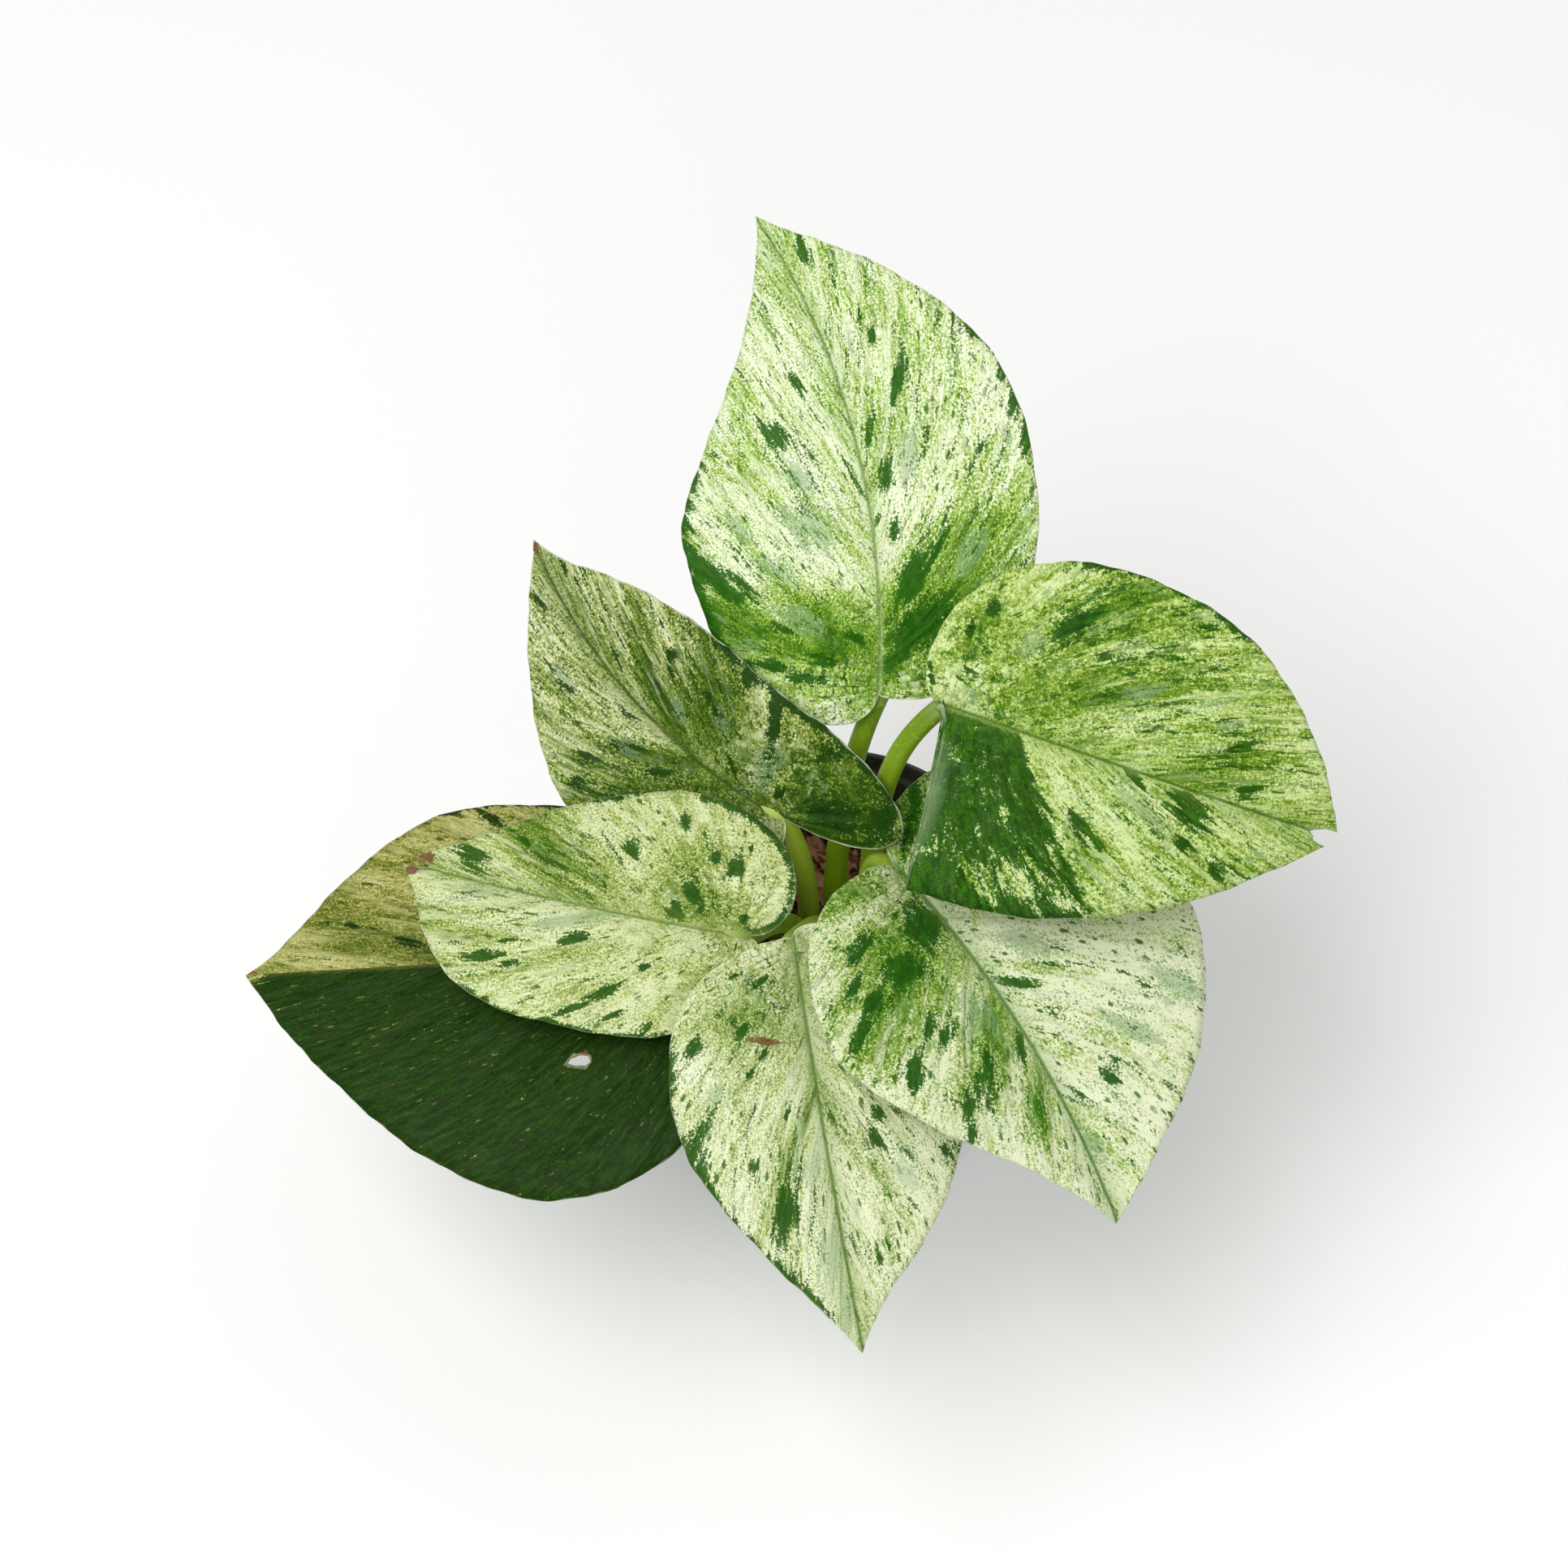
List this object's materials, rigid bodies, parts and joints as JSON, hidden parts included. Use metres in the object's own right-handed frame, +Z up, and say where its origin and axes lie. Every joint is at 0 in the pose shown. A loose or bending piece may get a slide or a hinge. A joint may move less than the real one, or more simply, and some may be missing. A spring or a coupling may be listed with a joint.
{
  "type": "potted moonlight scindapsus",
  "caption": "Small potted aroid: thick, pale, variegated pointed leaves on grooved stalks that rise from potting mix in a thin, slightly tapered nursery pot with a flat underside.",
  "frame": {"origin": "centre of the pot's flat underside, on the surface that it stands on", "axes": "+Z up along the pot's axis, +X to the right and -Y towards somebody who sees the plant as in the picture"},
  "size_m": [0.1982, 0.1844, 0.1609],
  "materials": {
    "pot_plastic": "thin two-tone plastic, pale outside and charcoal inside, slightly satin",
    "potting_mix": "moist chopped coco husk and bark with a few pale bits, matt",
    "vine_stem": "green stem with a corky ring at the node, satin",
    "stalks": "smooth pale yellow-green leaf stalk, satin",
    "blades_pale": "thick satin leaf, cream and pale green with dark green flecks along the veins",
    "blades_mixed": "thick satin leaf, mottled yellow-green with dark green blotches and one dark sector",
    "blade_dark": "thick satin leaf, one half nearly solid dark green and the other olive and mottled"
  },
  "bodies": {
    "root": {"pot": "pot_plastic", "potting_mix": "potting_mix", "vine_stem": "vine_stem", "stalk_top": "stalks", "blade_top": "blades_pale", "stalk_left": "stalks", "blade_left": "blades_pale", "stalk_right": "stalks", "blade_right": "blades_mixed", "stalk_far_left": "stalks", "blade_far_left": "blade_dark", "stalk_front_left": "stalks", "blade_front_left": "blades_pale", "stalk_front": "stalks", "blade_front": "blades_pale", "stalk_front_right": "stalks", "blade_front_right": "blades_pale"}
  },
  "joints": []
}
